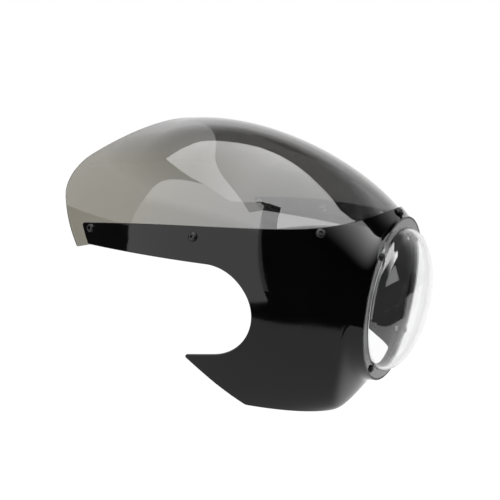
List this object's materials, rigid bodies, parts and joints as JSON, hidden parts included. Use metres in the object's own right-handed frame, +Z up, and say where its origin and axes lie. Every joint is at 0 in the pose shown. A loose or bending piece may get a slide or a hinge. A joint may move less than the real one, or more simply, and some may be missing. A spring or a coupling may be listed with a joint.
{
  "type": "motorcycle headlight cowl",
  "caption": "Moulded headlight cowl with fork cut-outs, a smoked bubble windscreen and a clear domed lens cover, held by button-head screws.",
  "frame": {"origin": "centre of the front face of the round seat that the lens cover lies on", "axes": "+Y rearward along the lens axis, +Z up, +X to the right as seen from in front of the lens"},
  "size_m": [0.3378, 0.393, 0.2848],
  "materials": {
    "cowl": "gloss black",
    "smoked_screen": "smoked transparent acrylic",
    "clear_lens": "clear polycarbonate",
    "black_screw": "black oxide",
    "zinc_steel": "zinc plated"
  },
  "bodies": {
    "root": {"cowl_shell": "cowl", "windscreen": "smoked_screen", "lens_cover": "clear_lens", "windscreen_screws": "black_screw", "windscreen_washers": "zinc_steel", "windscreen_nuts": "zinc_steel", "lens_screws": "black_screw", "lens_washers": "zinc_steel", "lens_nuts": "zinc_steel"}
  },
  "joints": []
}
